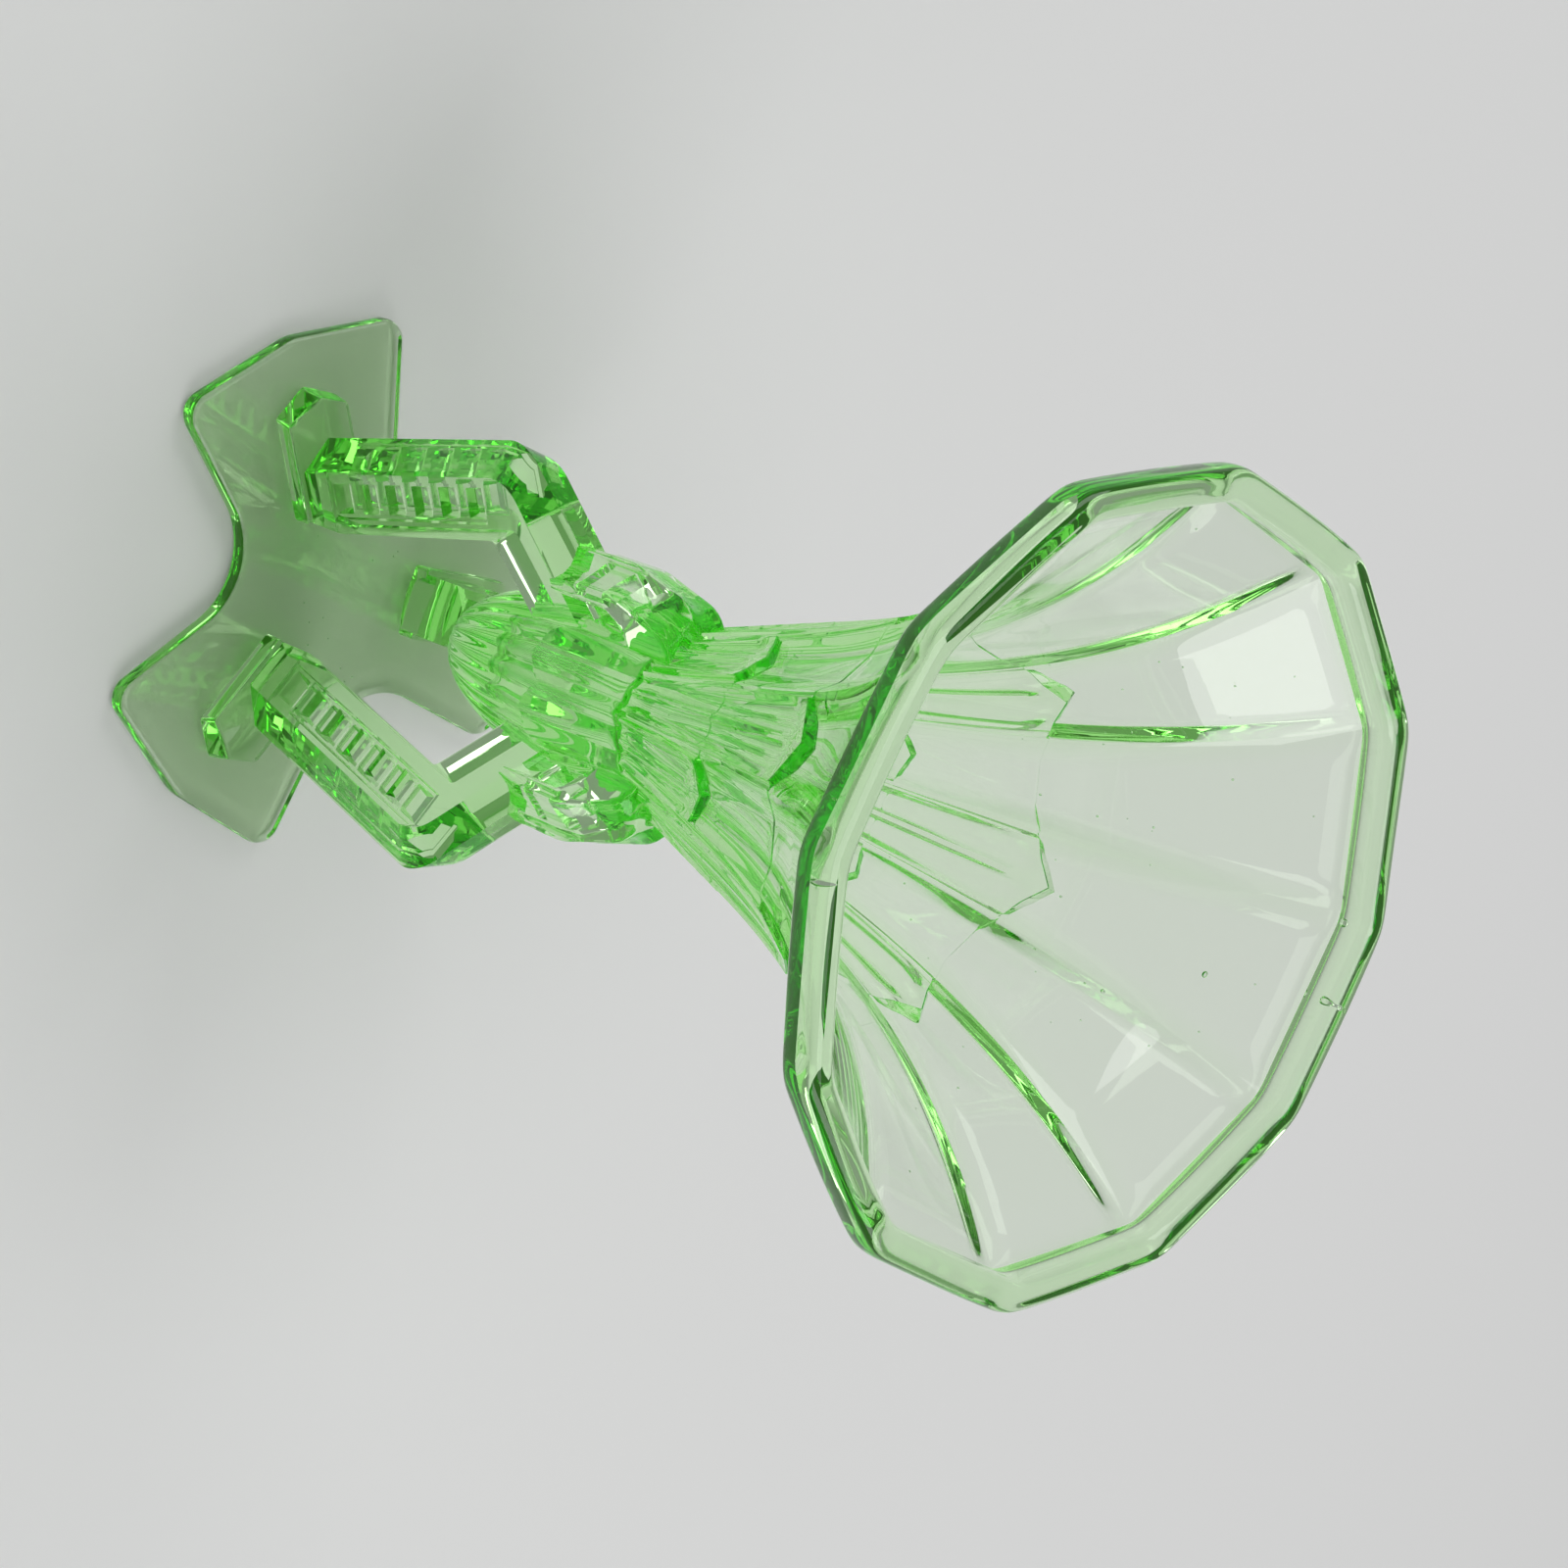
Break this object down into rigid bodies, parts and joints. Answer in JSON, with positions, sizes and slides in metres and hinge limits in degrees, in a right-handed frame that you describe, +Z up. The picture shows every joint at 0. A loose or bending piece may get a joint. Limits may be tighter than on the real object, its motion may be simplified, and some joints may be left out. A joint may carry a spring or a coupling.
{
  "type": "pressed glass footed vase",
  "caption": "Trumpet vase in pressed green glass: a ribbed bullet-shaped body held by bent legs over a lobed foot plate, with a faceted flaring bell.",
  "frame": {"origin": "middle of the underside of the foot plate, on the vase's axis", "axes": "+Z up along the vase's axis to the rim; +X out through the first leg"},
  "size_m": [0.1386, 0.1386, 0.21],
  "materials": {
    "uranium_glass": "fire-polished clear yellow-green uranium glass"
  },
  "bodies": {
    "root": {"arch_panel_1": "uranium_glass", "arch_panel_2": "uranium_glass", "arch_panel_3": "uranium_glass", "arch_panel_4": "uranium_glass", "arch_panel_5": "uranium_glass", "arch_panel_6": "uranium_glass", "bell_wall": "uranium_glass", "cone_wall": "uranium_glass", "foot_plate": "uranium_glass", "leg_brace_1": "uranium_glass", "leg_brace_2": "uranium_glass", "leg_brace_3": "uranium_glass", "leg_foot_1": "uranium_glass", "leg_foot_2": "uranium_glass", "leg_foot_3": "uranium_glass", "leg_pillar_1": "uranium_glass", "leg_pillar_2": "uranium_glass", "leg_pillar_3": "uranium_glass", "long_panel_1": "uranium_glass", "long_panel_2": "uranium_glass", "long_panel_3": "uranium_glass", "long_panel_4": "uranium_glass", "long_panel_5": "uranium_glass", "long_panel_6": "uranium_glass", "nose_bulb": "uranium_glass", "nose_collar": "uranium_glass", "rim_bead": "uranium_glass", "short_panel_1": "uranium_glass", "short_panel_2": "uranium_glass", "short_panel_3": "uranium_glass", "short_panel_4": "uranium_glass", "short_panel_5": "uranium_glass", "short_panel_6": "uranium_glass", "shoulder_fin_1_1": "uranium_glass", "shoulder_fin_1_2": "uranium_glass", "shoulder_fin_2_1": "uranium_glass", "shoulder_fin_2_2": "uranium_glass", "shoulder_fin_3_1": "uranium_glass", "shoulder_fin_3_2": "uranium_glass", "shoulder_hood_1": "uranium_glass", "shoulder_hood_2": "uranium_glass", "shoulder_hood_3": "uranium_glass"}
  },
  "joints": []
}
